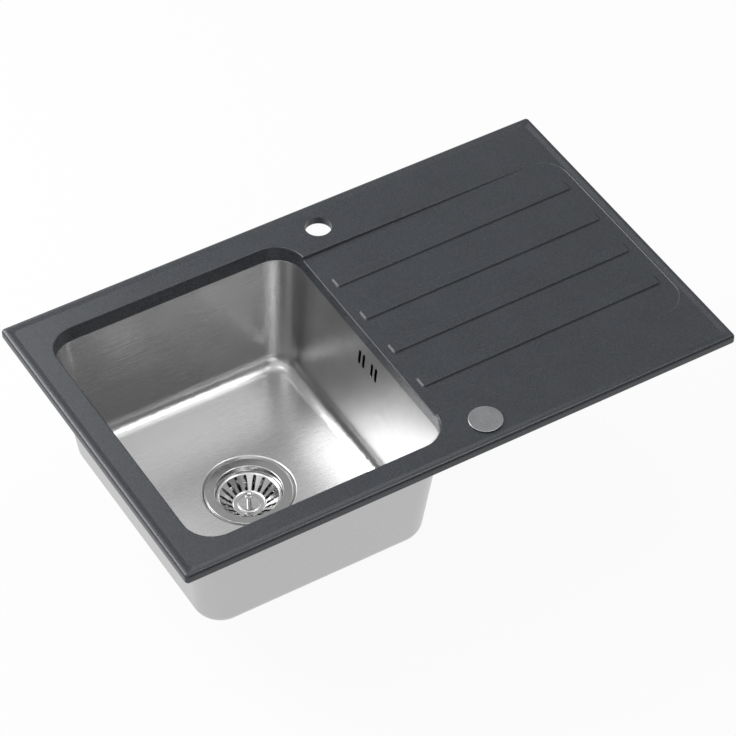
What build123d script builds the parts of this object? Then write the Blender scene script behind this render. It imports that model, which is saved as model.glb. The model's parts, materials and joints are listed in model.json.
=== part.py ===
from build123d import *
import os
from math import asin, atan2, cos, degrees, hypot, radians, sin, tan

os.makedirs("parts", exist_ok=True)

# Inset kitchen sink: a moulded stone composite deck with a sloped drainer, a pressed steel bowl hung
# below it, a basket waste that a push button on the deck lifts, and an overflow. All sizes are in mm.
# x runs right towards the drainer, y back towards the tap hole and z up. The origin lies on the
# underside of the rim, halfway along the front strip that bears on the worktop.

# Deck outline and rim
deck_length = 780.0
deck_depth = 480.0
deck_corner_radius = 5.0
deck_thickness = 10.6
rim_rise = 1.5
rim_top_round = 4.0
rim_bottom_round = 3.0
rim_crest_inset = 6.0
rim_slope_width = 6.0
seat_inset = 8.0
seat_land_width = 16.0
seat_land_drop = 1.2
strip_edge_gap = 1.0
strip_width = 5.0
strip_thickness = 2.0

# Bowl opening in the deck
left_strip = 38.6
front_strip = 38.6
back_strip = 41.4
opening_length = 350.0
opening_corner_radius = 39.0
opening_draft = 0.4
opening_edge_round = 2.0
collar_height = 22.4
collar_width = 11.5
joint_seal_inset = 4.5
joint_seal_width = 4.0
joint_seal_thickness = 1.5

# Drainer
drainer_right_margin = 14.0
drainer_front_strip = 79.1
drainer_back_strip = 81.9
drainer_corner_radius = 36.0
drainer_step_near = 4.7
drainer_step_far = 0.64
drainer_wall_lean = 25.0
drainer_foot_radius = 1.2
drainer_edge_round = 1.2
drainer_floor_thickness = 9.0
drainer_pan_margin = 10.0
rib_count = 4
rib_pitch = 68.6
rib_width = 20.0
rib_height = 2.2
rib_corner_radius = 3.6
rib_slope = 45.0
rib_crest_round = 0.8
rib_left_gap = 12.6
rib_right_gap = 12.0

# Tap hole and button hole
fitting_hole_radius = 17.5
tap_from_bowl = 46.3
tap_from_back = 41.0
button_from_bowl = 46.8
button_land_gap = 0.3

# Threaded inserts under the deck
insert_from_edge = 23.6
insert_past_bowl = 111.4
insert_from_corner = 70.0
insert_boss_wall = 1.5
insert_wall = 1.4
insert_thread_gap = 0.1
insert_length = 9.0
insert_end_gap = 0.5
clamp_from_opening = 15.0
clamp_pair_spread = 190.0

# Steel bowl
bowl_wall = 1.0
bowl_depth = 190.3
bowl_bend_radius = 2.2
bowl_reveal = 0.8
bowl_floor_inset = 17.8
bowl_floor_corner_radius = 36.0
bowl_floor_radius = 21.7
bowl_flange_width = 11.0
waste_recess_gap = 1.0
waste_recess_depth = 3.5
waste_recess_slope = 3.0
waste_recess_round = 3.0
waste_hole_gap = 1.2
pad_length = 58.0
pad_depth = 190.0
pad_thickness = 2.0
pad_corner_radius = 6.0
pad_gap = 10.0

# Clamps that hold the bowl's flange
clamp_width = 14.0
clamp_plate = 1.5
clamp_corner_radius = 2.0
clamp_heel = 6.5
clamp_toe_gap = 0.6
clamp_screw_radius = 2.0
clamp_screw_length = 9.0
clamp_head_radius = 3.8
clamp_head_height = 2.4
screw_drive_width = 0.8

# Overflow
overflow_slot_width = 5.5
overflow_slot_height = 22.0
overflow_slot_offsets = (-19.4, -9.7, 9.7, 19.4)
overflow_from_bowl_middle = -4.6
overflow_below_rim = 53.3
overflow_box_length = 62.0
overflow_box_height = 40.0
overflow_box_depth = 31.0
overflow_box_radius = 8.0
overflow_box_wall = 2.5
overflow_box_round = 4.0
overflow_gasket_thickness = 2.0
overflow_gasket_width = 4.0
overflow_stud_radius = 2.5
overflow_stud_end = 9.0
overflow_pillar_radius = 5.5
overflow_washer_radius = 8.0
overflow_washer_thickness = 1.2
overflow_nut_radius = 4.6
overflow_nut_height = 4.0
overflow_nut_gap = 1.0
overflow_spigot_length = 20.0
pipe_radius = 11.0
pipe_wall = 1.5
pipe_bend_radius = 26.0
pipe_insertion = 18.0
pipe_end_gap = 1.0
pipe_stub = 4.0
spigot_wall = 3.9
slip_seal_thickness = 4.0
slip_nut_wall = 3.6
slip_nut_grip = 11.0
slip_nut_lip = 3.0
slip_nut_sides = 8

# Waste flange, cup and basket
flange_width = 13.1
flange_wall = 0.9
flange_edge_round = 1.0
flange_gasket_thickness = 1.2
flange_gasket_width = 8.0
cup_mouth_radius = 42.9
cup_taper = 2.9
cup_depth = 27.6
cup_mouth_round = 1.5
cup_base_round = 3.0
valve_hole_radius = 23.0
basket_drop = 8.4
basket_wall = 0.8
basket_lip_round = 0.6
basket_shoulder_round = 3.0
basket_dish_round = 4.0
basket_disc_round = 0.8
basket_lip_width = 3.2
basket_lip_depth = 1.2
basket_dish_depth = 15.5
basket_flat_radius = 20.5
basket_disc_radius = 13.8
basket_disc_rise = 1.0
basket_slot_count = 18
basket_slot_width = 4.4
basket_slot_root = 1.1
basket_slot_edge = 2.8
basket_slot_turn = 9.07
knob_post_radius = 3.0
knob_radius = 5.5
knob_thickness = 3.5
knob_dimple_depth = 0.8
knob_height = 17.5
knob_spigot_radius = 2.0
knob_spigot_length = 7.0
valve_seal_seat = 4.0
valve_seal_gap = 0.3
stem_hub_radius = 7.3
stem_flange_radius = 13.0
stem_flange_thickness = 1.5
stem_radius = 3.5

# Waste body and its lifting gear
waste_gasket_thickness = 2.5
waste_gasket_width = 10.0
waste_rim_overhang = 1.0
waste_rim_thickness = 4.0
waste_cup_gap = 3.0
waste_wall = 3.0
shelf_gap = 0.5
shelf_thickness = 4.0
chamber_depth = 31.0
funnel_depth = 8.0
outlet_bore_radius = 20.5
outlet_thread_radius = 23.9
outlet_length = 30.0
waste_screw_gap = 1.5
waste_screw_turns = (60.0, 180.0, 300.0)
waste_screw_radius = 2.0
waste_screw_length = 11.0
waste_screw_head_radius = 4.0
waste_screw_head_height = 2.6
waste_boss_radius = 5.0
waste_boss_floor = 1.5
inlet_below_shaft = 2.0
inlet_reach = 35.0
lift_height = 8.0
finger_length = 19.0
finger_root_radius = 5.0
finger_tip_radius = 3.0
finger_width = 8.0
finger_gap = 0.3
shaft_below_shelf = 16.6
shaft_radius = 3.0
shaft_square = 4.2
shaft_boss_radius = 7.5
shaft_boss_proud = 7.5
shaft_far_boss_reach = 27.0
shaft_far_end = 22.6
shaft_end_gap = 0.5
bush_radius = 5.5
bush_length = 13.0
bush_cap = 1.5
shaft_seal_length = 2.6
crank_offset = 3.0
crank_thickness = 3.8
crank_length = 18.0
crank_root_radius = 6.0
crank_end_radius = 3.6
crank_screw_radius = 1.25
crank_screw_length = 8.0
crank_screw_head_radius = 3.2
crank_screw_head_height = 2.0
cable_bore_radius = 1.5
gland_radius = 3.5
gland_length = 22.0
gland_collar_radius = 5.6
gland_collar_length = 4.0
lug_from_axis = 23.0
lug_thickness = 3.5
lug_height = 14.0
lug_margin = 1.5

# Push button and its housing
button_overhang = 4.25
button_proud = 2.4
button_plate = 0.8
button_wall = 0.95
button_skirt_gap = 0.4
button_edge_round = 0.7
button_spigot_radius = 3.0
button_spigot_length = 7.0
button_gasket_thickness = 0.5
control_flange_gap = 0.5
control_flange_thickness = 0.8
control_barrel_gap = 0.5
control_barrel_length = 26.0
control_tail_step = 3.0
control_length = 35.0
control_guide_length = 5.0
control_tail_wall = 2.5
plunger_radius = 6.0
plunger_length = 24.0
plunger_collar_gap = 0.5
plunger_collar_thickness = 2.5
plunger_stop_gap = 0.3
cable_nipple_radius = 2.2
cable_nipple_depth = 6.0
spring_radius = 8.8
spring_wire_radius = 0.7
spring_turns = 5
end_cap_grip = 5.0
end_cap_flange = 2.5
end_cap_nipple_radius = 4.0
end_cap_nipple_length = 10.0
control_nut_wall = 4.3
control_washer_thickness = 1.5
control_nut_height = 9.0
control_nut_notches = 8
control_nut_notch_radius = 2.0

# Clearances, and how far a cutting shape runs past the face that it cuts
fixed_clearance = 0.05
running_clearance = 0.05
loose_clearance = 0.2
basket_clearance = 0.45
overrun = 1.0
selection_margin = 2.0

# Heights and places worked out from the sizes above
under_z = seat_land_drop
face_z = under_z + deck_thickness
rim_height = face_z + rim_rise
collar_z = face_z - collar_height
floor_z = rim_height - bowl_depth
deck_y = deck_depth / 2 - seat_inset
front_y = -seat_inset
back_y = deck_depth - seat_inset
strip_inset = seat_land_width - strip_edge_gap - strip_width
opening_depth = deck_depth - front_strip - back_strip
bowl_x = -deck_length / 2 + left_strip + opening_length / 2
bowl_y = front_y + front_strip + opening_depth / 2
opening_right = bowl_x + opening_length / 2
drainer_right = deck_length / 2 - drainer_right_margin
drainer_run = drainer_right - opening_right
drainer_depth = deck_depth - drainer_front_strip - drainer_back_strip
drainer_y = front_y + drainer_front_strip + drainer_depth / 2
drainer_angle = degrees(atan2(drainer_step_near - drainer_step_far, drainer_run))
insert_bore_radius = clamp_screw_radius + insert_thread_gap
insert_radius = insert_bore_radius + insert_wall
insert_boss_radius = insert_radius + insert_boss_wall
control_barrel_radius = fitting_hole_radius - control_barrel_gap
control_tail_radius = control_barrel_radius - control_tail_step
control_chamber_radius = control_tail_radius - control_tail_wall
plunger_collar_radius = control_chamber_radius - plunger_collar_gap
control_nut_radius = control_barrel_radius + control_nut_wall
button_radius = fitting_hole_radius + button_overhang
control_flange_radius = button_radius - button_wall - control_flange_gap
tap_x = opening_right + tap_from_bowl
tap_y = back_y - tap_from_back
button_x = opening_right + button_from_bowl
button_y = front_y + seat_land_width + button_land_gap + control_nut_radius
wall_top_inset = opening_draft - bowl_reveal
wall_angle = degrees(atan2(bowl_floor_inset - wall_top_inset, collar_z - floor_z))
flange_radius = cup_mouth_radius + flange_width
cup_base_radius = cup_mouth_radius - cup_taper
waste_recess_radius = flange_radius + waste_recess_gap + waste_recess_slope
waste_hole_radius = cup_mouth_radius + flange_wall + waste_hole_gap
waste_rim_radius = flange_radius + waste_rim_overhang
basket_slot_inner = basket_flat_radius + basket_slot_root
basket_slot_outer = cup_base_radius - basket_slot_edge
valve_seal_radius = valve_hole_radius + valve_seal_seat
waste_screw_circle = valve_seal_radius + waste_screw_gap + waste_screw_head_radius
chamber_radius = waste_screw_circle - waste_boss_radius
shaft_boss_reach = chamber_radius + waste_wall + shaft_boss_proud
spigot_radius = pipe_radius + spigot_wall
slip_nut_radius = spigot_radius + slip_nut_wall
recess_floor_z = floor_z - waste_recess_depth
flange_z = recess_floor_z + flange_gasket_thickness + flange_wall
cup_z = flange_z - cup_depth
basket_z = flange_z - basket_drop
dish_z = basket_z - basket_dish_depth
disc_z = dish_z + basket_disc_rise
valve_seal_z = cup_z + valve_seal_gap
stem_flange_z = valve_seal_z - stem_flange_thickness
waste_rim_z = recess_floor_z - bowl_wall - waste_gasket_thickness
shelf_z = cup_z - flange_wall - shelf_gap
chamber_z = shelf_z - chamber_depth
outlet_z = chamber_z - funnel_depth - outlet_length
shaft_z = shelf_z - shaft_below_shelf
inlet_z = shaft_z - inlet_below_shaft
lift_angle = degrees(asin(lift_height / 2 / finger_length))
overflow_y = bowl_y + overflow_from_bowl_middle
overflow_z = rim_height - overflow_below_rim
spigot_end_z = overflow_z - overflow_box_height / 2 - overflow_spigot_length
spigot_wall_inset = wall_top_inset + (collar_z - spigot_end_z - slip_nut_grip) * tan(radians(wall_angle))
slip_nut_flat = slip_nut_radius * cos(radians(180 / slip_nut_sides))
drop_x = opening_right - spigot_wall_inset + bowl_wall + overflow_nut_gap + slip_nut_flat
drop_run = hypot(drop_x - bowl_x, overflow_y - bowl_y)
drop_turn = degrees(atan2(overflow_y - bowl_y, drop_x - bowl_x))
elbow_run = drop_run - pipe_bend_radius
socket_run = elbow_run - pipe_stub
waste_boss_z = cup_z - waste_screw_length - waste_boss_floor
button_top_z = face_z + button_proud
control_flange_z = face_z + button_gasket_thickness + control_flange_thickness
guide_z = control_flange_z - control_guide_length
control_end_z = control_flange_z - control_length
plunger_collar_z = guide_z - lift_height - plunger_stop_gap


def at_drain(shape):
    return Pos(bowl_x, bowl_y, 0) * shape


def at_button(shape):
    return Pos(button_x, button_y, 0) * shape


def plate(length, depth, radius, bottom, top, x, y):
    """A flat slab with rounded corners between two heights."""
    return extrude(Pos(x, y, bottom) * RectangleRounded(length, depth, radius), top - bottom)


def tapered(lower, upper, x, y):
    """A block between two rounded rectangles, each given as length, depth, corner radius and height."""
    sections = [Pos(x, y, height) * RectangleRounded(length, depth, radius) for length, depth, radius, height
                in (lower, upper)]
    return loft(sections, ruled=True)


def turned(points):
    """A solid of revolution about z from a closed outline of radius and height points."""
    return revolve(make_face(Plane.XZ * Polyline(*points, close=True)), Axis.Z, 360)


def turned_sheet(points, radii, wall):
    """Sheet metal turned about z: the points follow the wet face from its rim inwards."""
    line = Wire((Plane.XZ * FilletPolyline(*points, radius=radii)).edges())
    outline = line.offset_2d(wall, kind=Kind.INTERSECTION, side=Side.RIGHT, closed=True)
    return revolve(Sketch() + Face(outline), Axis.Z, 360)


def tube(outer, inner, bottom, top):
    return Pos(0, 0, bottom) * extrude(Circle(outer) - Circle(inner), top - bottom)


def rod(radius, bottom, top):
    return Pos(0, 0, bottom) * extrude(Circle(radius), top - bottom)


def opening_size(inset):
    """Length, depth and corner radius of the bowl opening drawn in by an inset on every side."""
    return (opening_length - 2 * inset, opening_depth - 2 * inset, opening_corner_radius - inset)


def opening_ring(inner_inset, outer_inset, bottom, top):
    outer = plate(*opening_size(outer_inset), bottom, top, bowl_x, bowl_y)
    return outer - plate(*opening_size(inner_inset), bottom, top, bowl_x, bowl_y)


def rim_ring(outer_inset, inner_inset, bottom, top):
    """A band that follows the deck's edge between two insets."""
    outer = (deck_length - 2 * outer_inset, deck_depth - 2 * outer_inset, deck_corner_radius)
    inner = (deck_length - 2 * inner_inset, deck_depth - 2 * inner_inset, deck_corner_radius)
    return plate(*outer, bottom, top, 0, deck_y) - plate(*inner, bottom, top, 0, deck_y)


def clamp_places():
    """Middle and outward direction in degrees of each clamp round the bowl's flange."""
    half_length = opening_length / 2 + clamp_from_opening
    half_depth = opening_depth / 2 + clamp_from_opening
    spread = clamp_pair_spread / 2
    places = []
    for side in (-1, 1):
        for step in (-spread, spread):
            places.append((bowl_x + step, bowl_y + side * half_depth, 90 * side))
            places.append((bowl_x + side * half_length, bowl_y + step, 90 - 90 * side))
    return places


def worktop_insert_places():
    front = front_y + insert_from_edge
    back = back_y - insert_from_edge
    side = deck_length / 2 - insert_from_edge
    near = opening_right + insert_past_bowl
    far = deck_length / 2 - insert_from_corner
    places = [(-side, bowl_y), (side, bowl_y)]
    for x in (bowl_x, near, (near + far) / 2, far):
        places += [(x, front), (x, back)]
    return places


def drainer_plane():
    """The sloped drainer floor: its origin is at the bowl's edge and its x runs up the slope."""
    angle = radians(drainer_angle)
    origin = (opening_right, drainer_y, face_z - drainer_step_near)
    return Plane(origin=origin, x_dir=(cos(angle), 0, sin(angle)), z_dir=(-sin(angle), 0, cos(angle)))


def drainer_recess():
    """The hollow above the drainer floor, open over the bowl, with leaning walls and a rounded foot."""
    length = drainer_run + 2 * opening_corner_radius
    outline = Pos(drainer_run - length / 2, 0) * Rectangle(length, drainer_depth)
    outline = fillet(outline.vertices().group_by(Axis.X)[-1], drainer_corner_radius)
    hollow = extrude(drainer_plane() * outline, rim_height, taper=-drainer_wall_lean)
    foot = [edge for edge in hollow.faces().sort_by(Axis.Z)[0].edges() if edge.center().X > opening_right]
    return fillet(foot, drainer_foot_radius)


def drainer_ribs():
    length = drainer_run - rib_left_gap - rib_right_gap
    middle = rib_left_gap + length / 2
    ribs = Part()
    for number in range(rib_count):
        place = drainer_plane() * Pos(middle, (number - (rib_count - 1) / 2) * rib_pitch, -rib_height)
        foot = RectangleRounded(length + 2 * rib_height, rib_width + 2 * rib_height,
                                rib_corner_radius + rib_height)
        rib = extrude(place * foot, 2 * rib_height, taper=rib_slope)
        ribs += fillet(rib.faces().sort_by(Axis.Z)[-1].edges(), rib_crest_round)
    return ribs


def opening_edges(shape, height):
    """Edges at a height that run round the bowl within the opening's outline."""
    def inside(point):
        near_x = abs(point.X - bowl_x) < opening_length / 2 + selection_margin
        return near_x and abs(point.Y - bowl_y) < opening_depth / 2 + selection_margin
    level = shape.edges().filter_by_position(Axis.Z, height - fixed_clearance, height + fixed_clearance)
    return [edge for edge in level if inside(edge @ 0) and inside(edge @ 1)]


def drainer_edges(deck):
    """Upper edges of the drainer recess, and the edge over which its floor drains into the bowl."""
    half = drainer_depth / 2 + drainer_step_near

    def beside(point):
        return point.X > opening_right - selection_margin and abs(point.Y - drainer_y) < half

    level = deck.edges().filter_by_position(Axis.Z, face_z - fixed_clearance, face_z + fixed_clearance)
    upper = [edge for edge in level if beside(edge @ 0) and beside(edge @ 1)]
    lip_z = face_z - drainer_step_near
    low = deck.edges().filter_by_position(Axis.Z, lip_z - selection_margin, lip_z + selection_margin)
    lip = [edge for edge in low if edge.length > drainer_depth / 2
           and abs(edge.center().X - opening_right) < selection_margin]
    return upper + lip


def round_edges(shape, radius):
    """Full circles of a radius on a shape."""
    circles = shape.edges().filter_by(GeomType.CIRCLE)
    return [edge for edge in circles if abs(edge.radius - radius) < fixed_clearance and edge.is_closed]


def composite_deck():
    deck = plate(deck_length, deck_depth, deck_corner_radius, 0, rim_height, 0, deck_y)
    deck = fillet(deck.edges().group_by(Axis.Z)[-1], rim_top_round)
    deck = fillet(deck.edges().group_by(Axis.Z)[0], rim_bottom_round)
    # The rim's crest slopes down to the flat face of the deck.
    slope_inset = rim_crest_inset + rim_slope_width
    above = rim_rise
    above_inset = rim_crest_inset - rim_slope_width * above / rim_rise
    field = (deck_length - 2 * slope_inset, deck_depth - 2 * slope_inset, deck_corner_radius, face_z)
    crest = (deck_length - 2 * above_inset, deck_depth - 2 * above_inset, deck_corner_radius,
             rim_height + above)
    deck -= tapered(field, crest, 0, deck_y)
    inner = (deck_length - 2 * seat_land_width, deck_depth - 2 * seat_land_width, deck_corner_radius)
    deck -= plate(*inner, -overrun, under_z, 0, deck_y)
    # Under the drainer the deck is thickened to follow the sloped floor.
    pan = drainer_plane() * Pos(0, 0, -drainer_floor_thickness)
    pan_depth = drainer_depth + 2 * drainer_pan_margin
    pan_outline = Pos(drainer_run / 2, 0) * RectangleRounded(drainer_run, pan_depth, drainer_pan_margin)
    deck += extrude(pan * pan_outline, drainer_floor_thickness - drainer_step_near + rim_rise)
    deck += plate(*opening_size(-collar_width), collar_z, face_z - overrun, bowl_x, bowl_y)
    insert_places = worktop_insert_places() + [(x, y) for x, y, turn in clamp_places()]
    for x, y in insert_places:
        deck += Pos(x, y, 0) * rod(insert_boss_radius, collar_z, face_z - overrun)
    # Bowl opening with a little draft and a rounded upper edge.
    lower_inset = opening_draft * (collar_height + overrun) / collar_height
    upper_inset = -opening_draft * rim_rise / collar_height
    lower = (*opening_size(lower_inset), collar_z - overrun)
    upper = (*opening_size(upper_inset), rim_height)
    deck -= tapered(lower, upper, bowl_x, bowl_y)
    deck = fillet(opening_edges(deck, face_z), opening_edge_round)
    deck -= drainer_recess()
    deck = fillet(drainer_edges(deck), drainer_edge_round)
    deck += drainer_ribs()
    fitting_hole = rod(fitting_hole_radius, collar_z, rim_height)
    deck -= Pos(tap_x, tap_y, 0) * fitting_hole
    deck -= at_button(fitting_hole)
    insert_hole = rod(insert_radius, collar_z - overrun, collar_z + insert_length + insert_end_gap)
    for x, y in insert_places:
        deck -= Pos(x, y, 0) * insert_hole
    deck -= rim_ring(strip_inset, strip_inset + strip_width, -overrun, strip_thickness)
    deck -= opening_ring(-joint_seal_inset, -joint_seal_inset - joint_seal_width, collar_z - overrun,
                         collar_z + joint_seal_thickness)
    return deck


def rim_sealing_strip():
    inset = strip_inset + loose_clearance
    return rim_ring(inset, strip_inset + strip_width - loose_clearance, 0, strip_thickness)


def insert_group(places):
    insert = tube(insert_radius - fixed_clearance, insert_bore_radius, collar_z, collar_z + insert_length)
    return Compound([Pos(x, y, 0) * insert for x, y in places])


def bowl_inset(height):
    """How far the bowl's wet wall stands in from the opening at a height."""
    share = (collar_z - height) / (collar_z - floor_z)
    return wall_top_inset + share * (bowl_floor_inset - wall_top_inset)


def bowl_block(wall):
    """The bowl's form with its floor fillet, offset outwards by a wall."""
    spread = wall / cos(radians(wall_angle))
    radius_top = opening_corner_radius - wall_top_inset + spread
    radius_floor = bowl_floor_corner_radius + spread
    bottom = floor_z - wall
    sizes = [(opening_length - 2 * inset, opening_depth - 2 * inset)
             for inset in (bowl_inset(bottom) - spread, wall_top_inset - spread)]
    block = tapered((*sizes[0], radius_floor, bottom), (*sizes[1], radius_top, collar_z), bowl_x, bowl_y)
    return fillet(block.edges().group_by(Axis.Z)[0], bowl_floor_radius + wall)


def waste_recess(wall):
    top = waste_recess_radius + wall
    return turned([(0, floor_z), (top, floor_z), (top - waste_recess_slope, recess_floor_z - wall),
                   (0, recess_floor_z - wall)])


def wall_plane():
    """The outer face of the bowl's right wall at the overflow: x runs back, y up the wall, z outwards."""
    angle = radians(wall_angle)
    x = opening_right - bowl_inset(overflow_z) + bowl_wall / cos(angle)
    return Plane(origin=(x, overflow_y, overflow_z), x_dir=(0, 1, 0), z_dir=(cos(angle), 0, -sin(angle)))


def bowl_form(wall, cover):
    """The bowl's wet form offset outwards by a wall, under a plate from which it bends down."""
    form = cover + bowl_block(wall) + at_drain(waste_recess(wall))
    return fillet(opening_edges(form, collar_z - wall), bowl_bend_radius + wall)


def steel_bowl():
    flange = opening_size(-bowl_flange_width)
    outside = bowl_form(bowl_wall, plate(*flange, collar_z - bowl_wall, collar_z, bowl_x, bowl_y))
    inside = bowl_form(0, plate(*flange, collar_z, collar_z + bowl_wall, bowl_x, bowl_y))
    inside = fillet(round_edges(inside, waste_recess_radius), waste_recess_round)
    bowl = outside - inside
    bowl -= at_drain(rod(waste_hole_radius, recess_floor_z - bowl_wall - overrun, floor_z))
    slot = Rot(0, 0, 90) * SlotOverall(overflow_slot_height, overflow_slot_width)
    for offset in overflow_slot_offsets:
        bowl -= extrude(wall_plane() * Pos(offset, 0, -2 * bowl_wall) * slot, 4 * bowl_wall)
    return bowl


def bowl_joint_seal():
    inset = joint_seal_inset + loose_clearance
    return opening_ring(-inset, loose_clearance - joint_seal_inset - joint_seal_width, collar_z,
                        collar_z + joint_seal_thickness)


def bowl_clamp():
    """One clamp, drawn at the origin with its heel at +y and its toe under the bowl's flange at -y."""
    toe_z = collar_z - bowl_wall
    bend_end = bowl_bend_radius + 2 * bowl_wall - wall_top_inset
    clamp_toe = clamp_from_opening - bend_end - clamp_toe_gap
    length = clamp_heel + clamp_toe
    middle = (clamp_heel - clamp_toe) / 2
    body = plate(clamp_width, length, clamp_corner_radius, toe_z - clamp_plate, toe_z, 0, middle)
    heel = Box(clamp_width - 2 * clamp_corner_radius, clamp_plate, bowl_wall)
    heel = Pos(0, clamp_heel - clamp_plate / 2, (toe_z + collar_z) / 2) * heel
    return body + heel - rod(clamp_screw_radius + loose_clearance, toe_z - clamp_plate - overrun, collar_z)


def bowl_clamps():
    return Compound([Pos(x, y, 0) * Rot(0, 0, turn - 90) * bowl_clamp() for x, y, turn in clamp_places()])


def pan_screw(radius, length, head_radius, head_height):
    """A pan head screw: its head rests on z = 0 from below and its shank points up."""
    head = rod(head_radius, -head_height, 0)
    head = fillet(head.edges().group_by(Axis.Z)[0], head_height / 3)
    drive = Box(head_radius, screw_drive_width, head_height)
    drive += Box(screw_drive_width, head_radius, head_height)
    drive = Pos(0, 0, -head_height) * drive
    return head + rod(radius, 0, length) - drive


def clamp_screws():
    seat = collar_z - bowl_wall - clamp_plate
    screw = pan_screw(clamp_screw_radius, clamp_screw_length, clamp_head_radius, clamp_head_height)
    return Compound([Pos(x, y, seat) * screw for x, y, turn in clamp_places()])


def sound_pad():
    x = bowl_x - waste_recess_radius - bowl_wall - pad_gap - pad_length / 2
    top = floor_z - bowl_wall
    return plate(pad_length, pad_depth, pad_corner_radius, top - pad_thickness, top, x, bowl_y)


def cup_radius(height):
    share = (flange_z - height) / cup_depth
    return cup_mouth_radius - share * (cup_mouth_radius - cup_base_radius)


def strainer_flange():
    lip_z = flange_z - flange_wall - flange_gasket_thickness + loose_clearance
    points = [(flange_radius, lip_z), (flange_radius, flange_z), (cup_mouth_radius, flange_z),
              (cup_base_radius, cup_z), (valve_hole_radius, cup_z)]
    flange = turned_sheet(points, [flange_edge_round, cup_mouth_round, cup_base_round], flange_wall)
    hole = rod(waste_screw_radius + loose_clearance, cup_z - flange_wall - overrun, cup_z + overrun)
    for turn in waste_screw_turns:
        flange -= Rot(0, 0, turn) * Pos(waste_screw_circle, 0, 0) * hole
    return at_drain(flange)


def flange_gasket():
    outer = flange_radius - flange_wall - loose_clearance
    top = recess_floor_z + flange_gasket_thickness
    return at_drain(tube(outer, outer - flange_gasket_width, recess_floor_z, top))


def basket_radius():
    return cup_radius(basket_z) - basket_clearance


def strainer_basket():
    rim = basket_radius()
    points = [(rim, basket_z - basket_lip_depth), (rim, basket_z), (rim - basket_lip_width, basket_z),
              (basket_flat_radius, dish_z), (basket_disc_radius + basket_disc_rise, dish_z),
              (basket_disc_radius, disc_z), (knob_spigot_radius + fixed_clearance, disc_z)]
    radii = [basket_lip_round, basket_shoulder_round, basket_dish_round, basket_disc_round, basket_disc_round]
    basket = turned_sheet(points, radii, basket_wall)
    length = basket_slot_outer - basket_slot_inner
    slot = Pos(basket_slot_inner + length / 2, 0, dish_z - 2 * basket_wall)
    slot = extrude(slot * SlotOverall(length, basket_slot_width), basket_dish_depth + 4 * basket_wall)
    for number in range(basket_slot_count):
        basket -= Rot(0, 0, basket_slot_turn + number * 360 / basket_slot_count) * slot
    return at_drain(basket)


def basket_knob():
    top = dish_z + knob_height
    bottom = disc_z - knob_spigot_length
    outline = [(0, bottom), (knob_spigot_radius, bottom), (knob_spigot_radius, disc_z),
               (knob_post_radius, disc_z), (knob_post_radius, top - knob_thickness),
               (knob_radius, top - knob_thickness), (knob_radius, top), (0, top)]
    knob = turned(outline)
    knob = fillet(round_edges(knob, knob_radius), knob_thickness / 3)
    dimple_z = top - knob_dimple_depth
    dimple = turned([(0, dimple_z), (knob_post_radius / 2, dimple_z), (knob_post_radius, top), (0, top)])
    return at_drain(knob - dimple)


def basket_seal():
    hole = stem_hub_radius + fixed_clearance
    return at_drain(tube(valve_seal_radius, hole, valve_seal_z, dish_z - basket_wall))


def stem_ball_z():
    """Height of the stem's round end, which the raised finger carries just clear."""
    start = radians(lift_angle)
    lean = start + asin((finger_root_radius - finger_tip_radius) / finger_length)
    tip_shift = finger_length * (1 - cos(start))
    reach = finger_tip_radius + stem_radius + finger_gap
    return shaft_z - lift_height / 2 + (reach - tip_shift * sin(lean)) / cos(lean)


def basket_stem():
    ball_z = stem_ball_z()
    hub_z = disc_z - basket_wall
    seal_top = valve_seal_z
    stem = rod(stem_hub_radius, seal_top, hub_z) + rod(stem_flange_radius, stem_flange_z, seal_top)
    stem += rod(stem_radius, ball_z, stem_flange_z) + Pos(0, 0, ball_z) * Sphere(stem_radius)
    bore_z = disc_z - knob_spigot_length - loose_clearance
    return at_drain(stem - rod(knob_spigot_radius + fixed_clearance, bore_z, hub_z))


def waste_gasket():
    inner = waste_rim_radius - waste_gasket_width
    return at_drain(tube(waste_rim_radius, inner, waste_rim_z, waste_rim_z + waste_gasket_thickness))


def shaft_side(shape):
    """Places a shape drawn along z so that its z runs forward along the lifting shaft's axis."""
    return Pos(-finger_length, 0, shaft_z) * Rot(90, 0, 0) * shape


def inlet_side(shape):
    """Places a shape drawn along z so that its z runs level from the drain's axis to the drop pipe."""
    return Rot(0, 0, drop_turn) * Pos(0, 0, inlet_z) * Rot(0, 90, 0) * shape


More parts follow.
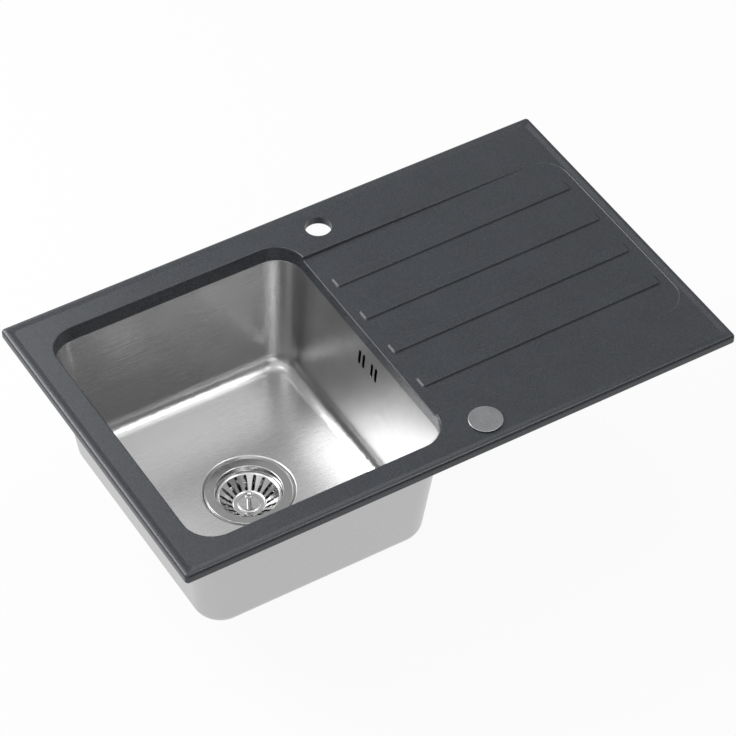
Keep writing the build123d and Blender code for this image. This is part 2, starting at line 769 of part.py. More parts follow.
def waste_body():
    cup_bore = cup_mouth_radius + flange_wall + waste_cup_gap
    outlet_top = chamber_z - funnel_depth
    outer_chamber = chamber_radius + waste_wall
    rim_bottom = waste_rim_z - waste_rim_thickness
    shelf_bottom = shelf_z - shelf_thickness
    body = turned([(0, waste_rim_z), (waste_rim_radius, waste_rim_z), (waste_rim_radius, rim_bottom),
                   (cup_bore + waste_wall, rim_bottom), (cup_bore + waste_wall, shelf_bottom),
                   (outer_chamber, shelf_bottom), (outer_chamber, chamber_z),
                   (outlet_thread_radius, outlet_top), (outlet_thread_radius, outlet_z), (0, outlet_z)])
    for turn in waste_screw_turns:
        boss = rod(waste_boss_radius, waste_boss_z, shelf_z - overrun)
        body += Rot(0, 0, turn) * Pos(waste_screw_circle, 0, 0) * boss
    body += inlet_side(rod(spigot_radius, chamber_radius, chamber_radius + inlet_reach))
    body += shaft_side(rod(shaft_boss_radius, 0, shaft_boss_reach))
    body += shaft_side(rod(shaft_boss_radius, -shaft_far_boss_reach, 0))
    lug_x = lug_from_axis + lug_thickness / 2
    lug_root = lug_from_axis / 2
    lug_reach = crank_middle() + gland_collar_radius + lug_margin
    lug_middle = (lug_reach + lug_root) / 2
    lug_z = shaft_z - crank_length
    lug = Pos(lug_x, -lug_middle, lug_z) * Box(lug_thickness, lug_reach - lug_root, lug_height)
    lug_edges = lug.edges().filter_by(Axis.X).group_by(Axis.Y)[0]
    body += fillet(lug_edges, lug_height / 3)
    # The hollow inside: cup bore, chamber, funnel and outlet.
    above = waste_rim_z + overrun
    below = outlet_z - overrun
    body -= turned([(0, above), (cup_bore, above), (cup_bore, shelf_z), (chamber_radius, shelf_z),
                    (chamber_radius, chamber_z), (outlet_bore_radius, outlet_top),
                    (outlet_bore_radius, below), (0, below)])
    pilot = rod(waste_screw_radius + fixed_clearance, waste_boss_z + waste_boss_floor / 2, shelf_z + overrun)
    for turn in waste_screw_turns:
        body -= Rot(0, 0, turn) * Pos(waste_screw_circle, 0, 0) * pilot
    inlet_end = chamber_radius + inlet_reach
    inlet_bore = rod(pipe_radius - pipe_wall, 0, inlet_end)
    socket_end = inlet_end - pipe_insertion - pipe_end_gap
    inlet_bore += rod(pipe_radius + loose_clearance, socket_end, inlet_end + overrun)
    body -= inlet_side(inlet_bore)
    body -= shaft_side(rod(shaft_radius + running_clearance, -shaft_far_end - shaft_end_gap, 0))
    body -= shaft_side(rod(bush_radius + fixed_clearance, 0, shaft_boss_reach + overrun))
    gland_hole = rod(gland_radius + fixed_clearance, -lug_thickness, lug_thickness)
    body -= Pos(lug_x, -crank_middle(), lug_z) * Rot(0, 90, 0) * gland_hole
    return at_drain(body)


def waste_screws():
    screw = pan_screw(waste_screw_radius, waste_screw_length, waste_screw_head_radius,
                      waste_screw_head_height)
    screw = Pos(waste_screw_circle, 0, cup_z) * Rot(180, 0, 0) * screw
    return Compound([at_drain(Rot(0, 0, turn) * screw) for turn in waste_screw_turns])


def crank_middle():
    """Distance of the crank's mid-plane in front of the drain's middle."""
    return shaft_boss_reach + crank_offset + crank_thickness / 2


def lifter_shaft():
    shoulder = shaft_boss_reach + crank_offset
    shaft = shaft_side(rod(shaft_radius, -shaft_far_end, shoulder))
    square = Pos(0, 0, shoulder + crank_thickness / 2) * Box(shaft_square, shaft_square, crank_thickness)
    square = shaft_side(Rot(0, 0, -lift_angle) * square)
    ends = Circle(finger_root_radius) + Pos(finger_length, 0) * Circle(finger_tip_radius)
    finger = extrude(make_hull(ends.edges()), finger_width)
    shaft += shaft_side(Rot(0, 0, -lift_angle) * Pos(0, 0, -finger_width / 2) * finger) + square
    end = shoulder + crank_thickness
    pilot_end = end - crank_screw_length - shaft_end_gap
    shaft -= shaft_side(rod(crank_screw_radius + fixed_clearance, pilot_end, end + overrun))
    return at_drain(shaft)


def lifter_crank():
    start = shaft_boss_reach + crank_offset
    arm = make_hull((Circle(crank_root_radius) + Pos(0, -crank_length) * Circle(crank_end_radius)).edges())
    arm -= Rectangle(shaft_square + 2 * fixed_clearance, shaft_square + 2 * fixed_clearance)
    arm -= Pos(0, -crank_length) * Circle(cable_bore_radius)
    crank = Rot(0, 0, -lift_angle) * Pos(0, 0, start) * extrude(arm, crank_thickness)
    return at_drain(shaft_side(crank))


def crank_screw():
    seat = shaft_boss_reach + crank_offset + crank_thickness
    screw = pan_screw(crank_screw_radius, crank_screw_length, crank_screw_head_radius,
                      crank_screw_head_height)
    return at_drain(shaft_side(Pos(0, 0, seat) * Rot(180, 0, 0) * screw))


def shaft_bush():
    end = shaft_boss_reach + loose_clearance
    bush = tube(bush_radius, shaft_radius + running_clearance, end - bush_length, end)
    cap = tube(shaft_boss_radius, shaft_radius + running_clearance, end, end + bush_cap)
    return at_drain(shaft_side(bush + cap))


def shaft_seal():
    end = shaft_boss_reach + loose_clearance - bush_length
    ring = tube(bush_radius - fixed_clearance, shaft_radius + running_clearance, end - shaft_seal_length, end)
    return at_drain(shaft_side(ring))


def waste_cable_gland():
    gland = rod(gland_radius, -gland_length / 2, gland_length / 2)
    collar = extrude(RegularPolygon(gland_collar_radius, 6), gland_collar_length)
    gland += Pos(0, 0, lug_thickness / 2) * collar
    gland -= rod(cable_bore_radius, -gland_length, gland_length)
    x = lug_from_axis + lug_thickness / 2
    return at_drain(Pos(x, -crank_middle(), shaft_z - crank_length) * Rot(0, 90, 0) * gland)


def overflow_gasket():
    inner = 2 * overflow_gasket_width
    ring = RectangleRounded(overflow_box_length, overflow_box_height, overflow_box_radius)
    ring -= RectangleRounded(overflow_box_length - inner, overflow_box_height - inner,
                             overflow_box_radius - overflow_gasket_width)
    return extrude(wall_plane() * ring, overflow_gasket_thickness)


def overflow_housing():
    wall = overflow_box_wall
    seat = wall_plane() * Pos(0, 0, overflow_gasket_thickness)
    height = overflow_box_depth - overflow_gasket_thickness
    outline = RectangleRounded(overflow_box_length, overflow_box_height, overflow_box_radius)
    box = extrude(seat * outline, height)
    box = fillet(box.faces().sort_by(Axis.X)[-1].edges(), overflow_box_round)
    end_z = spigot_end_z
    box += Pos(drop_x, overflow_y, 0) * rod(spigot_radius, end_z, overflow_z - overflow_box_height / 2 + wall)
    hollow = RectangleRounded(overflow_box_length - 2 * wall, overflow_box_height - 2 * wall,
                              overflow_box_radius - wall)
    box -= extrude(seat * hollow, height - wall)
    bore = rod(pipe_radius - pipe_wall, end_z, overflow_z)
    bore += rod(pipe_radius + loose_clearance, end_z - overrun, end_z + pipe_insertion + pipe_end_gap)
    box -= Pos(drop_x, overflow_y, 0) * bore
    box += extrude(seat * Circle(overflow_pillar_radius), height - wall / 2)
    box -= extrude(seat * Circle(overflow_stud_radius + loose_clearance), height + overrun)
    return box


def overflow_stud():
    return extrude(wall_plane() * Circle(overflow_stud_radius), overflow_box_depth + overflow_stud_end)


def overflow_washer():
    ring = Circle(overflow_washer_radius) - Circle(overflow_stud_radius + fixed_clearance)
    return extrude(wall_plane() * Pos(0, 0, overflow_box_depth) * ring, overflow_washer_thickness)


def overflow_nut():
    ring = RegularPolygon(overflow_nut_radius, 6) - Circle(overflow_stud_radius + fixed_clearance)
    place = wall_plane() * Pos(0, 0, overflow_box_depth + overflow_washer_thickness)
    return extrude(place * ring, overflow_nut_height)


def overflow_pipe():
    """Drop pipe with its bend and a socket, drawn in the plane from the drain to the drop pipe."""
    top = spigot_end_z + pipe_insertion
    path = Polyline((drop_run, top), (drop_run, inlet_z + pipe_bend_radius))
    path += RadiusArc((drop_run, inlet_z + pipe_bend_radius), (elbow_run, inlet_z), pipe_bend_radius)
    path += Polyline((elbow_run, inlet_z), (socket_run, inlet_z))
    line = Wire((Plane.XZ * path).edges())
    start = Plane(origin=line @ 0, z_dir=line % 0)
    pipe = sweep(start * Circle(pipe_radius), line) - sweep(start * Circle(pipe_radius - pipe_wall), line)
    socket = tube(spigot_radius, pipe_radius + loose_clearance, 0, pipe_insertion + pipe_end_gap)
    socket += tube(spigot_radius, pipe_radius - pipe_wall, -pipe_wall, 0)
    pipe += Pos(socket_run, 0, inlet_z) * Rot(0, -90, 0) * socket
    return at_drain(Rot(0, 0, drop_turn) * pipe)


def pipe_joint_places():
    """Spigot ends of the overflow line, each with its z pointing out of the spigot."""
    socket_end = socket_run - pipe_insertion - pipe_end_gap
    return [Pos(drop_x, overflow_y, spigot_end_z) * Rot(180, 0, 0),
            at_drain(Rot(0, 0, drop_turn) * Pos(socket_end, 0, inlet_z) * Rot(0, -90, 0)),
            at_drain(inlet_side(Pos(0, 0, chamber_radius + inlet_reach)))]


def overflow_branch():
    start = chamber_radius + inlet_reach - pipe_insertion
    return at_drain(inlet_side(tube(pipe_radius, pipe_radius - pipe_wall, start, socket_run - pipe_end_gap)))


def overflow_slip_seals():
    seal = tube(spigot_radius, pipe_radius + fixed_clearance, 0, slip_seal_thickness)
    return Compound([place * seal for place in pipe_joint_places()])


def overflow_slip_nuts():
    height = slip_nut_grip + slip_seal_thickness + slip_nut_lip
    # A flat of the nut faces the bowl's wall.
    outline = RegularPolygon(slip_nut_radius, slip_nut_sides, rotation=180 / slip_nut_sides)
    nut = Pos(0, 0, -slip_nut_grip) * extrude(outline, height)
    nut -= rod(spigot_radius + loose_clearance, -slip_nut_grip - overrun, slip_seal_thickness)
    nut -= rod(pipe_radius + loose_clearance, 0, height)
    return Compound([place * nut for place in pipe_joint_places()])


def control_button():
    skirt_z = face_z + button_skirt_gap
    under = button_top_z - button_plate
    cap = rod(button_radius, skirt_z, button_top_z)
    cap = fillet(cap.edges().group_by(Axis.Z)[-1], button_edge_round)
    cap -= rod(button_radius - button_wall, skirt_z - overrun, under)
    return at_button(cap + rod(button_spigot_radius, under - button_spigot_length, under))


def control_plunger():
    top = button_top_z - button_plate
    bottom = top - plunger_length
    plunger = rod(plunger_radius, bottom, top)
    plunger += rod(plunger_collar_radius, plunger_collar_z - plunger_collar_thickness, plunger_collar_z)
    plunger -= rod(button_spigot_radius + fixed_clearance, top - button_spigot_length - loose_clearance, top)
    return at_button(plunger - rod(cable_nipple_radius, bottom - overrun, bottom + cable_nipple_depth))


def button_spring():
    bottom = control_end_z + end_cap_grip + spring_wire_radius
    top = plunger_collar_z - plunger_collar_thickness - spring_wire_radius
    line = Helix((top - bottom) / spring_turns, top - bottom, spring_radius)
    start = Plane(origin=line @ 0, z_dir=line % 0)
    spring = sweep(start * Circle(spring_wire_radius), Wire([line]), is_frenet=True)
    return at_button(Pos(0, 0, bottom) * spring)


def button_gasket():
    top = face_z + button_gasket_thickness
    return at_button(tube(control_flange_radius, fitting_hole_radius, face_z, top))


def control_housing():
    barrel_z = control_flange_z - control_barrel_length
    flange_under = control_flange_z - control_flange_thickness
    guide_radius = plunger_radius + running_clearance
    housing = turned([(guide_radius, control_flange_z), (control_flange_radius, control_flange_z),
                      (control_flange_radius, flange_under), (control_barrel_radius, flange_under),
                      (control_barrel_radius, barrel_z), (control_tail_radius, barrel_z),
                      (control_tail_radius, control_end_z), (control_chamber_radius, control_end_z),
                      (control_chamber_radius, guide_z), (guide_radius, guide_z)])
    return at_button(housing)


def control_washer():
    inner = control_barrel_radius + fixed_clearance
    return at_button(tube(control_nut_radius, inner, under_z - control_washer_thickness, under_z))


def control_nut():
    top = under_z - control_washer_thickness
    nut = tube(control_nut_radius, control_barrel_radius + fixed_clearance, top - control_nut_height, top)
    notch = Pos(control_nut_radius + control_nut_notch_radius / 3, 0, 0)
    notch = notch * rod(control_nut_notch_radius, top - control_nut_height - overrun, top + overrun)
    for number in range(control_nut_notches):
        nut -= Rot(0, 0, number * 360 / control_nut_notches) * notch
    return at_button(nut)


def control_end_cap():
    plug_radius = control_chamber_radius - fixed_clearance
    cap = rod(plug_radius, control_end_z, control_end_z + end_cap_grip)
    cap += rod(control_tail_radius, control_end_z - end_cap_flange, control_end_z)
    nipple_z = control_end_z - end_cap_flange - end_cap_nipple_length
    cap += rod(end_cap_nipple_radius, nipple_z, control_end_z)
    return at_button(cap - rod(cable_bore_radius, nipple_z - overrun, control_end_z + end_cap_grip + overrun))


pieces = {
    "composite_deck": composite_deck,
    "rim_sealing_strip": rim_sealing_strip,
    "worktop_clip_inserts": lambda: insert_group(worktop_insert_places()),
    "clamp_inserts": lambda: insert_group([(x, y) for x, y, turn in clamp_places()]),
    "steel_bowl": steel_bowl,
    "bowl_joint_seal": bowl_joint_seal,
    "bowl_clamps": bowl_clamps,
    "clamp_screws": clamp_screws,
    "sound_pad": sound_pad,
    "strainer_flange": strainer_flange,
    "flange_gasket": flange_gasket,
    "strainer_basket": strainer_basket,
    "basket_knob": basket_knob,
    "basket_seal": basket_seal,
    "basket_stem": basket_stem,
    "waste_gasket": waste_gasket,
    "waste_body": waste_body,
    "waste_screws": waste_screws,
    "lifter_shaft": lifter_shaft,
    "lifter_crank": lifter_crank,
    "crank_screw": crank_screw,
    "shaft_bush": shaft_bush,
    "shaft_seal": shaft_seal,
    "waste_cable_gland": waste_cable_gland,
    "overflow_gasket": overflow_gasket,
    "overflow_housing": overflow_housing,
    "overflow_stud": overflow_stud,
    "overflow_washer": overflow_washer,
    "overflow_nut": overflow_nut,
    "overflow_pipe": overflow_pipe,
    "overflow_branch": overflow_branch,
    "overflow_slip_seals": overflow_slip_seals,
    "overflow_slip_nuts": overflow_slip_nuts,
    "control_button": control_button,
    "control_plunger": control_plunger,
    "button_spring": button_spring,
    "button_gasket": button_gasket,
    "control_housing": control_housing,
    "control_washer": control_washer,
    "control_nut": control_nut,
    "control_end_cap": control_end_cap,
}

for node, make in pieces.items():
    export_step(make(), f"parts/{node}.step")

print("lifting shaft axis at", round(bowl_x - finger_length, 3), round(bowl_y, 3), round(shaft_z, 3))
print("lifting shaft turn in degrees", round(2 * lift_angle, 3))
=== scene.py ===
import json
import math

import bpy
from mathutils import Euler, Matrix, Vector


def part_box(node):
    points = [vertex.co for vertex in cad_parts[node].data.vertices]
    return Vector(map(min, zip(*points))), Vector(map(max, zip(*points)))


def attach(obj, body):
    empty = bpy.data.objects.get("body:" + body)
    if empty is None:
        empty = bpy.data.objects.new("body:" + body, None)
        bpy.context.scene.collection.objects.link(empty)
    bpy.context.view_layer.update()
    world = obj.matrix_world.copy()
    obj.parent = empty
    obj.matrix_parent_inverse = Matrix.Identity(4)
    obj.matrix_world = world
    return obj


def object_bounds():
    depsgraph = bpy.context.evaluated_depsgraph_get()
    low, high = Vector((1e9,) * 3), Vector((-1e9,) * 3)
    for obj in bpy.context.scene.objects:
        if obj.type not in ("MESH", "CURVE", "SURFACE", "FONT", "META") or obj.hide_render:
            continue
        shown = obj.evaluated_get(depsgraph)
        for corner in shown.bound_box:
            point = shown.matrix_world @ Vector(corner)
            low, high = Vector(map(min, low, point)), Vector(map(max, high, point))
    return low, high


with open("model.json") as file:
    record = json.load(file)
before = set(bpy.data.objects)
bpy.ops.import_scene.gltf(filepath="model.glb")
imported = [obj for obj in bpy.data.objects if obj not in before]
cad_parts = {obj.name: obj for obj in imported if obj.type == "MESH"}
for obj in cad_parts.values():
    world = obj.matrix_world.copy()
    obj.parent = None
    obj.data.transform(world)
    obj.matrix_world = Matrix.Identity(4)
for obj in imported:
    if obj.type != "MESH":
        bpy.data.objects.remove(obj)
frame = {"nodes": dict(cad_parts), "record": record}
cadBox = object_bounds()
cadNodes = frame["nodes"]
print("frame loaded,", len(cadNodes), "pieces")


class Value:
    # one output socket of a finish; arithmetic on it adds the Math nodes
    def __init__(self, finish, socket):
        self.finish = finish
        self.socket = socket

    def __add__(self, other):
        return self.finish.maths("ADD", self, other)

    def __radd__(self, other):
        return self.finish.maths("ADD", other, self)

    def __mul__(self, other):
        return self.finish.maths("MULTIPLY", self, other)

    def __rmul__(self, other):
        return self.finish.maths("MULTIPLY", other, self)

    def __gt__(self, other):
        return self.finish.maths("GREATER_THAN", self, other)


class Finish:
    # the node tree of one material, or of the world
    def __init__(self, name, library="materials"):
        self.owner = getattr(bpy.data, library).new(name)
        self.owner.use_nodes = True
        self.tree = self.owner.node_tree
        self.tree.nodes.clear()

    def node(self, kind, settings=None, sockets=None, output=0):
        made = self.tree.nodes.new(kind)
        for key, value in (settings or {}).items():
            setattr(made, key, value)
        for key, value in (sockets or {}).items():
            if isinstance(value, Value):
                self.tree.links.new(value.socket, made.inputs[key])
            else:
                made.inputs[key].default_value = value
        return Value(self, made.outputs[output]) if len(made.outputs) else made

    def maths(self, operation, first, second):
        return self.node("ShaderNodeMath", {"operation": operation}, {0: first, 1: second})

    def weigh(self, first, second, share):
        # a weighted sum; share is the second value's part of it
        return first * (1 - share) + second * share

    def place(self, centre=(0.0, 0.0, 0.0), scale=(1.0, 1.0, 1.0)):
        # Object coordinates measured from a centre, then scaled along each axis
        start = self.node("ShaderNodeTexCoord", output="Object")
        shift = tuple(-c * s for c, s in zip(centre, scale))
        return self.node("ShaderNodeMapping", {}, {"Vector": start, "Location": shift, "Scale": scale})

    def noise(self, place, scale, detail=2.0, roughness=0.5):
        sockets = {"Vector": place, "Scale": scale, "Detail": detail, "Roughness": roughness}
        return self.node("ShaderNodeTexNoise", {}, sockets)

    def grains(self, place, scale):
        # one random level per grain
        cells = self.node("ShaderNodeTexVoronoi", {}, {"Vector": place, "Scale": scale}, "Color")
        return self.node("ShaderNodeSeparateColor", {}, {0: cells})

    def radius(self, place):
        # distance from the z axis through the place's centre
        flat = self.node("ShaderNodeVectorMath", {"operation": "MULTIPLY"}, {0: place, 1: (1.0, 1.0, 0.0)})
        return self.node("ShaderNodeVectorMath", {"operation": "LENGTH"}, {0: flat}, "Value")

    def fade(self, value, edge, result=(0.0, 1.0)):
        # goes softly from the first result to the second while the value crosses the edge
        settings = {"clamp": True, "interpolation_type": "SMOOTHSTEP"}
        span = {"From Min": edge[0], "From Max": edge[1], "To Min": result[0], "To Max": result[1]}
        return self.node("ShaderNodeMapRange", settings, {"Value": value, **span})

    def blend(self, factor, first, second):
        return self.node("ShaderNodeMix", {"data_type": "RGBA"}, {0: factor, 6: first, 7: second}, 2)

    def bump(self, height, distance, strength=1.0):
        sockets = {"Height": height, "Strength": strength, "Distance": distance}
        return self.node("ShaderNodeBump", {}, sockets)

    def seen(self):
        # 1 for rays that see the surface, in the camera or a reflection, and 0 for rays that only light
        rays = ("Is Camera Ray", "Is Glossy Ray", "Is Transmission Ray")
        camera, glossy, clear = [self.node("ShaderNodeLightPath", output=ray) for ray in rays]
        return camera + glossy + clear

    def close(self, shader, kind="ShaderNodeOutputMaterial"):
        self.node(kind, {}, {"Surface": shader})
        return self.owner

    def principled(self, sockets):
        return self.close(self.node("ShaderNodeBsdfPrincipled", {}, sockets))


def tone(level, warmth=0.0, redShare=0.6):
    # a grey, a little warm or cool; red moves less than blue
    return (level * (1 + redShare * warmth), level, level * (1 - warmth), 1.0)


def uprightAxis(nodeName):
    # the upright axis through the middle of a round CAD piece
    low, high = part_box(nodeName)
    return ((low.x + high.x) / 2, (low.y + high.y) / 2, 0.0)


drainAxis = uprightAxis("strainer_flange")
buttonAxis = uprightAxis("control_button")


# Composite: dark stone filler in resin, with light and dark grains and a fine moulded skin
composite = {
    "dark": tone(0.026, -0.22), "body": tone(0.043, -0.22), "light": tone(0.084, -0.16),
    "grainSize": 0.00085, "lightShare": 0.20,
    "dustPerGrain": 2.3, "dustShare": 0.65, "dustEdge": (0.2, 0.9), "dustRelief": 0.15,
    "cloudScale": 22.0, "cloudDetail": 3.0, "cloudShare": 0.5, "shadeEdge": (0.25, 0.75),
    "skinSize": 0.0011, "skinDetail": 3.0, "skinRoughness": 0.6, "skinDepth": 0.00006,
    "roughness": (0.26, 0.33), "roughEdge": (0.2, 0.8), "specular": 0.5,
}


def compositeFinish():
    f = Finish("compositeStone")
    here = f.place()
    grains = f.grains(here, 1 / composite["grainSize"])
    dust = f.grains(here, composite["dustPerGrain"] / composite["grainSize"])
    cloud = f.noise(here, composite["cloudScale"], composite["cloudDetail"])
    lightMask = (grains > 1 - composite["lightShare"]) * f.fade(dust, composite["dustEdge"])
    shade = f.fade(f.weigh(cloud, dust, composite["dustShare"]), composite["shadeEdge"])
    stone = f.blend(shade, composite["dark"], composite["body"])
    skin = f.noise(here, 1 / composite["skinSize"], composite["skinDetail"], composite["skinRoughness"])
    mottle = f.weigh(grains, cloud, composite["cloudShare"])
    return f.principled({
        "Base Color": f.blend(lightMask, stone, composite["light"]),
        "Roughness": f.fade(mottle, composite["roughEdge"], composite["roughness"]),
        "Specular IOR Level": composite["specular"],
        "Normal": f.bump(skin + dust * composite["dustRelief"], composite["skinDepth"]),
    })


# Brushed metals: the bowl's satin stainless steel, whose grain runs along its length, and small hidden parts
bowlSteel = {
    "dark": tone(0.478), "light": tone(0.502), "grain": (22.0, 3500.0, 3500.0),
    "roughness": (0.265, 0.285), "depth": 0.0000002,
}
platedSteel = {
    "dark": tone(0.46, 0.01), "light": tone(0.60, 0.015), "grain": (500.0, 500.0, 500.0),
    "roughness": (0.28, 0.42), "depth": 0.00001,
}
insertBrass = {
    "dark": (0.52, 0.36, 0.14, 1.0), "light": (0.68, 0.50, 0.22, 1.0), "grain": (700.0, 700.0, 2500.0),
    "roughness": (0.25, 0.36), "depth": 0.00001,
}
brushing = {
    "cloudScale": 9.0, "cloudShare": 0.3, "colourEdge": (0.35, 0.65),
    "cloudInRough": 0.5, "roughEdge": (0.3, 0.7),
    "pitScale": 1400.0, "pitDetail": 1.0, "pitRelief": 0.5,
}


def brushedFinish(name, look):
    f = Finish(name)
    lines = f.noise(f.place(scale=look["grain"]), 1.0)
    cloud = f.noise(f.place(), brushing["cloudScale"])
    pits = f.noise(f.place(), brushing["pitScale"], brushing["pitDetail"])
    shade = f.fade(f.weigh(lines, cloud, brushing["cloudShare"]), brushing["colourEdge"])
    wear = f.weigh(lines, cloud, brushing["cloudInRough"])
    return f.principled({
        "Base Color": f.blend(shade, look["dark"], look["light"]),
        "Metallic": 1.0,
        "Roughness": f.fade(wear, brushing["roughEdge"], look["roughness"]),
        "Normal": f.bump(lines + pits * brushing["pitRelief"], look["depth"]),
    })


# Turned metals: waste flange, basket with its knob, and push button, with fine rings about their own axis
polishedSteel = {
    "dark": tone(0.44), "light": tone(0.54), "ring": 2600.0, "roughness": (0.09, 0.17),
    "depth": 0.000004, "centre": drainAxis,
}
# The basket's steel is the flange's polished steel painted lighter: a painted highlight standing in for the
# bright reflections on its ribs
basketSteelWithPaintedHighlight = {
    "dark": tone(0.60), "light": tone(0.70), "ring": 2600.0, "roughness": (0.16, 0.24),
    "depth": 0.000003, "centre": drainAxis,
}
buttonChrome = {
    "dark": tone(0.33, -0.02), "light": tone(0.39, -0.02), "ring": 3400.0, "roughness": (0.20, 0.30),
    "depth": 0.000006, "centre": buttonAxis,
}
turning = {
    "ringDetail": 2.0, "ringEdge": (0.3, 0.7), "ringRelief": 0.6,
    "cloudScale": 60.0, "cloudShare": 0.4,
}


def turnedFinish(name, look):
    f = Finish(name)
    here = f.place(centre=look["centre"])
    sockets = {"W": f.radius(here), "Scale": look["ring"], "Detail": turning["ringDetail"]}
    rings = f.node("ShaderNodeTexNoise", {"noise_dimensions": "1D"}, sockets)
    cloud = f.noise(here, turning["cloudScale"])
    wear = f.weigh(rings, cloud, turning["cloudShare"])
    return f.principled({
        "Base Color": f.blend(f.fade(rings, turning["ringEdge"]), look["dark"], look["light"]),
        "Metallic": 1.0,
        "Roughness": f.fade(wear, turning["ringEdge"], look["roughness"]),
        "Normal": f.bump(rings, look["depth"], turning["ringRelief"]),
    })


# Plastics, rubber, foam and the bowl's sound pad
wastePlastic = {
    "dark": tone(0.030), "light": tone(0.050), "grain": 0.0007, "depth": 0.00003, "roughness": (0.38, 0.48),
}
gearPlastic = {
    "dark": tone(0.020), "light": tone(0.034), "grain": 0.0006, "depth": 0.00003, "roughness": (0.36, 0.48),
}
sealRubber = {
    "dark": tone(0.012), "light": tone(0.024), "grain": 0.0009, "depth": 0.00004, "roughness": (0.62, 0.80),
}
sealingFoam = {
    "dark": tone(0.045), "light": tone(0.085), "grain": 0.0007, "depth": 0.00015, "roughness": (0.85, 0.95),
}
padBitumen = {
    "dark": tone(0.018, 0.02), "light": tone(0.045, 0.02), "grain": 0.0014, "depth": 0.00012,
    "roughness": (0.70, 0.90),
}
moulding = {
    "skinDetail": 3.0, "skinRoughness": 0.6, "skinEdge": (0.3, 0.7),
    "cloudScale": 35.0, "cloudShare": 0.4,
}


def mouldedFinish(name, look):
    f = Finish(name)
    here = f.place()
    skin = f.noise(here, 1 / look["grain"], moulding["skinDetail"], moulding["skinRoughness"])
    cloud = f.noise(here, moulding["cloudScale"])
    shade = f.fade(f.weigh(skin, cloud, moulding["cloudShare"]), moulding["skinEdge"])
    return f.principled({
        "Base Color": f.blend(shade, look["dark"], look["light"]),
        "Roughness": f.fade(skin, moulding["skinEdge"], look["roughness"]),
        "Normal": f.bump(skin, look["depth"]),
    })


finishes = {
    "composite": compositeFinish(),
    "bowl_steel": brushedFinish("bowlSteel", bowlSteel),
    "plated_steel": brushedFinish("platedSteel", platedSteel),
    "insert_brass": brushedFinish("insertBrass", insertBrass),
    "polished_steel": turnedFinish("polishedSteel", polishedSteel),
    "basket_steel": turnedFinish("basketSteelWithPaintedHighlight", basketSteelWithPaintedHighlight),
    "button_chrome": turnedFinish("buttonChrome", buttonChrome),
    "waste_plastic": mouldedFinish("wastePlastic", wastePlastic),
    "gear_plastic": mouldedFinish("gearPlastic", gearPlastic),
    "seal_rubber": mouldedFinish("sealRubber", sealRubber),
    "sealing_foam": mouldedFinish("sealingFoam", sealingFoam),
    "pad_bitumen": mouldedFinish("padBitumen", padBitumen),
}
slotOf = {part["node"]: part["material_slot"] for part in frame["record"]["subparts"]}
slotOf["strainer_basket"] = "basket_steel"  # painted lighter than its flange's steel, a painted highlight for the bright reflections on its ribs
print("finishes made,", len(finishes))


# CAD pieces: finish, and smooth shading that keeps the real edges
smoothing = {
    "merge": 0.000001, "edgeAngle": math.radians(28), "largeFaceWeight": 90,
    "crisp": {"composite_deck": math.radians(13)},  # the slope of its rim is only 14 degrees
}


def dressNode(name, node):
    node.data.materials.clear()
    node.data.materials.append(finishes[slotOf[name]])
    for face in node.data.polygons:
        face.use_smooth = True
    weld = node.modifiers.new("weld", "WELD")
    weld.merge_threshold = smoothing["merge"]
    split = node.modifiers.new("split", "EDGE_SPLIT")
    split.split_angle = smoothing["crisp"].get(name, smoothing["edgeAngle"])
    split.use_edge_sharp = False
    weighted = node.modifiers.new("weighted", "WEIGHTED_NORMAL")
    weighted.mode = "FACE_AREA_WITH_ANGLE"
    weighted.weight = smoothing["largeFaceWeight"]


for nodeName, nodeObject in cadNodes.items():
    dressNode(nodeName, nodeObject)
print("CAD pieces dressed")


# Threads on the waste outlet and on the button's housing below its nut
threads = {
    "outletThread": {
        "finish": "waste_plastic", "axis": drainAxis, "foot": "waste_body", "aboveFoot": 0.0014,
        "radius": 0.0239, "pitch": 0.0023, "turns": 11, "ridge": 0.0008, "sunk": 0.0003,
    },
    "housingThread": {
        "finish": "gear_plastic", "axis": buttonAxis, "foot": "control_nut", "aboveFoot": -0.0031,
        "radius": 0.0170, "pitch": 0.0013, "turns": 2, "ridge": 0.0005, "sunk": 0.0002,
    },
}
threadMesh = {"ridgeSides": 3, "stepsPerTurn": 48}


def cutThread(name, thread):
    # a three-sided ridge pointing outwards, screwed up round the axis
    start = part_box(thread["foot"])[0].z + thread["aboveFoot"]
    ridgePlace = (thread["radius"] - thread["sunk"], 0.0, start)
    quarter = math.pi / 2
    bpy.ops.object.select_all(action="DESELECT")
    bpy.ops.mesh.primitive_circle_add(vertices=threadMesh["ridgeSides"], radius=thread["ridge"],
                                      rotation=(quarter, quarter, 0.0), location=ridgePlace)
    piece = bpy.context.object
    piece.name = name
    bpy.ops.object.transform_apply(location=True, rotation=True)
    bpy.ops.object.modifier_add(type="SCREW")
    screw = piece.modifiers[-1]
    screw.screw_offset = thread["pitch"]
    screw.iterations = thread["turns"]
    screw.steps = screw.render_steps = threadMesh["stepsPerTurn"]
    bpy.ops.object.modifier_apply(modifier=screw.name)
    bpy.ops.object.mode_set(mode="EDIT")
    bpy.ops.mesh.select_all(action="SELECT")
    bpy.ops.mesh.fill_holes(sides=threadMesh["ridgeSides"])
    bpy.ops.mesh.select_all(action="SELECT")
    bpy.ops.mesh.normals_make_consistent(inside=False)
    bpy.ops.transform.translate(value=thread["axis"])
    bpy.ops.object.mode_set(mode="OBJECT")
    bpy.ops.object.shade_smooth_by_angle(angle=smoothing["edgeAngle"])
    piece.data.materials.append(finishes[thread["finish"]])
    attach(piece, "sink")


for threadName, thread in threads.items():
    cutThread(threadName, thread)
print("threads cut,", len(threads))


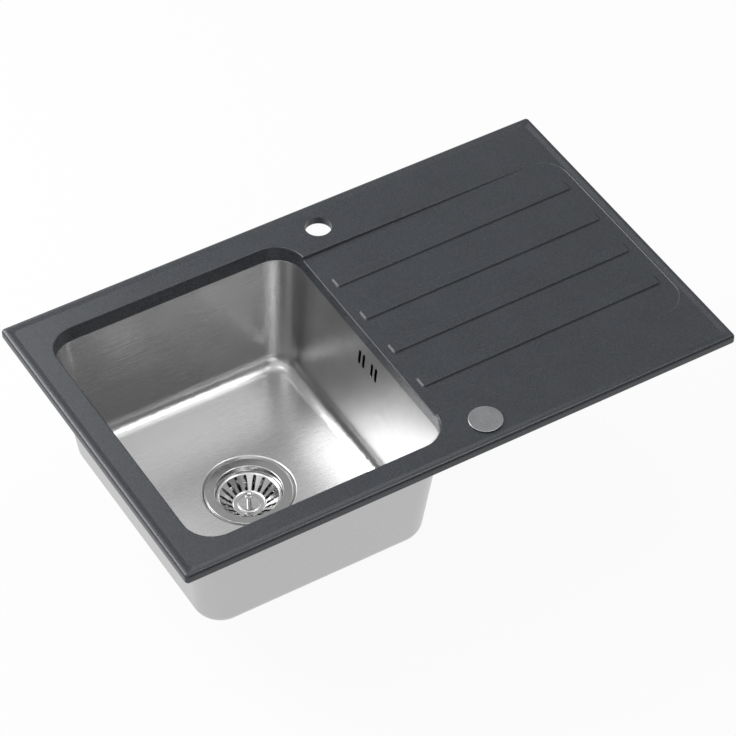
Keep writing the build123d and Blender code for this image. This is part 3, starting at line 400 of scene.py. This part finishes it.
# Studio: pale floor, white surroundings, soft boxes, and grey or bright cards that only reflections see
studio = {
    "floorGap": 0.0008, "floorSize": 24.0, "floorCentre": (0.0, 0.25),
    "floorTone": tone(0.80), "floorGlow": 0.94, "white": tone(1.0), "ambient": 0.45,
    "aim": (0.0, 0.23, -0.03),
    "softBoxes": {
        "backLeft": {"azimuth": -42.0, "elevation": 36.0, "away": 2.0, "size": (1.3, 1.1), "power": 29.0},
        "top": {"azimuth": 100.0, "elevation": 70.0, "away": 2.6, "size": (1.1, 0.7), "power": 9.0},
    },
    "cards": {
        "back": {"azimuth": -11.0, "elevation": 47.0, "away": 2.8, "size": (1.5, 1.3), "shade": 3.2},
        "frontRight": {"azimuth": 140.0, "elevation": 66.0, "away": 2.6, "size": (0.7, 0.7), "shade": 4.5},
        "left": {"azimuth": -90.0, "elevation": 66.0, "away": 2.6, "size": (0.8, 0.7), "shade": 3.2},
        "backRight": {"azimuth": 36.0, "elevation": 46.0, "away": 3.0, "size": (1.4, 1.1), "shade": 0.50},
        "lowRight": {"azimuth": 56.0, "elevation": 14.0, "away": 3.0, "size": (2.8, 1.5), "shade": 0.15},
        "front": {"azimuth": 156.0, "elevation": 27.0, "away": 3.0, "size": (3.0, 3.1), "shade": 0.22},
    },
}


def makeFloor():
    low = cadBox[0].z - studio["floorGap"]
    bpy.ops.object.select_all(action="DESELECT")
    bpy.ops.mesh.primitive_plane_add(size=studio["floorSize"], location=(*studio["floorCentre"], low))
    floor = bpy.context.object
    floor.name = "studioFloor"
    bpy.ops.object.transform_apply(location=True)
    f = Finish("floorPaper")
    lit = f.node("ShaderNodeBsdfDiffuse", {}, {"Color": studio["floorTone"]})
    glow = f.node("ShaderNodeEmission", {}, {"Color": studio["white"], "Strength": 1.0})
    mixed = f.node("ShaderNodeMixShader", {}, {0: f.seen() * studio["floorGlow"], 1: lit, 2: glow})
    floor.data.materials.append(f.close(mixed))


def makeWorld():
    f = Finish("studioWorld", "worlds")
    around = f.node("ShaderNodeBackground", {}, {"Color": studio["white"], "Strength": studio["ambient"]})
    backdrop = f.node("ShaderNodeBackground", {}, {"Color": studio["white"], "Strength": 1.0})
    mixed = f.node("ShaderNodeMixShader", {}, {0: f.seen(), 1: around, 2: backdrop})
    bpy.context.scene.world = f.close(mixed, "ShaderNodeOutputWorld")


def standAt(holder, part):
    # stands it off from the sink, facing the sink
    turn, rise = math.radians(part["azimuth"]), math.radians(part["elevation"])
    toPart = Vector((math.sin(turn) * math.cos(rise), math.cos(turn) * math.cos(rise), math.sin(rise)))
    holder.location = Vector(studio["aim"]) + toPart * part["away"]
    holder.rotation_euler = (-toPart).to_track_quat("-Z", "Y").to_euler()


def addSoftBox(name, box):
    lamp = bpy.data.lights.new(name, "AREA")
    lamp.shape = "RECTANGLE"
    lamp.size, lamp.size_y = box["size"]
    lamp.energy = box["power"]
    holder = bpy.data.objects.new(name, lamp)
    standAt(holder, box)
    bpy.context.scene.collection.objects.link(holder)


def addCard(name, card):
    bpy.ops.object.select_all(action="DESELECT")
    bpy.ops.mesh.primitive_plane_add(size=1.0)
    board = bpy.context.object
    board.name = name + "Card"
    board.scale = (*card["size"], 1.0)
    bpy.ops.object.transform_apply(scale=True)
    standAt(board, card)
    board.visible_camera = board.visible_diffuse = False
    board.visible_transmission = board.visible_shadow = False
    f = Finish(name + "Card")
    glow = f.node("ShaderNodeEmission", {}, {"Color": tone(card["shade"]), "Strength": 1.0})
    board.data.materials.append(f.close(glow))


makeFloor()
makeWorld()
for boxName, box in studio["softBoxes"].items():
    addSoftBox(boxName, box)
for cardName, card in studio["cards"].items():
    addCard(cardName, card)
print("studio set")


# Camera at the photograph's place
view = {
    "place": (-1.5720, -2.3916, 3.0413), "tilt": 44.691, "turn": -30.931, "lens": 169.19, "sensor": 36.0,
}


def makeCamera():
    data = bpy.data.cameras.new("photoCamera")
    data.lens = view["lens"]
    data.sensor_width = view["sensor"]
    camera = bpy.data.objects.new("photoCamera", data)
    camera.location = view["place"]
    camera.rotation_euler = Euler((math.radians(view["tilt"]), 0.0, math.radians(view["turn"])))
    bpy.context.scene.collection.objects.link(camera)
    bpy.context.scene.camera = camera


makeCamera()
bpy.context.scene.view_settings.view_transform = "Standard"
print("camera set")
